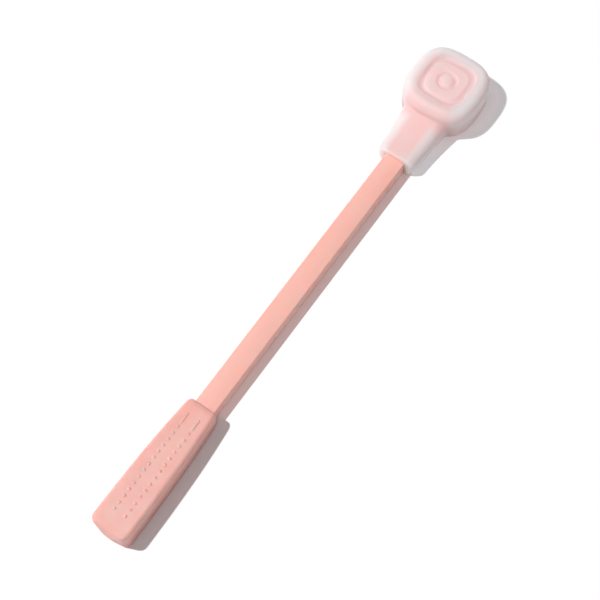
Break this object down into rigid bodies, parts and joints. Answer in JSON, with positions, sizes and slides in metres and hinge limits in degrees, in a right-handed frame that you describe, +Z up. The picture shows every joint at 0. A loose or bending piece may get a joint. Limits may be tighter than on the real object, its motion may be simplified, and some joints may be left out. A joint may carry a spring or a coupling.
{
  "type": "massage hammer",
  "caption": "Hand-held massage hammer: a dotted soft grip, a flexible square rod over a spring strip, and a frosted silicone head with a stepped striking face.",
  "frame": {"origin": "middle of the hammer's length and width, on the plane of its flat back, which it lies on", "axes": "+X along the handle towards the head, +Z up out of the striking face, +Y across"},
  "size_m": [0.4, 0.0538, 0.029],
  "materials": {
    "grip_silicone": "matte moulded silicone, pale salmon pink",
    "rod_silicone": "satin extruded silicone, pale salmon pink",
    "frosted_silicone": "frosted translucent silicone",
    "head_core_plastic": "matte moulded plastic, pale pink",
    "grip_core_plastic": "plain moulded plastic",
    "spring_steel": "rolled spring steel",
    "screw_steel": "plated steel"
  },
  "bodies": {
    "handle": {"grip_sleeve": "grip_silicone", "grip_core_upper": "grip_core_plastic", "grip_core_lower": "grip_core_plastic", "grip_screw_front": "screw_steel", "grip_screw_rear": "screw_steel"},
    "head": {"rod_sheath": "rod_silicone", "spring_strip": "spring_steel", "head_cover": "frosted_silicone", "head_core_block": "head_core_plastic", "head_core_back_plate": "head_core_plastic", "head_screw_near": "screw_steel", "head_screw_far": "screw_steel"}
  },
  "joints": [
    {"name": "rod_flex", "type": "hinge", "parent": "handle", "child": "head", "pos_m": [-0.031, 0, 0.0072], "axis": [0, 1, 0], "range_deg": [-20, 20], "stiffness_Nm_per_rad": 1.8, "deforming": ["rod_sheath", "spring_strip"]}
  ]
}
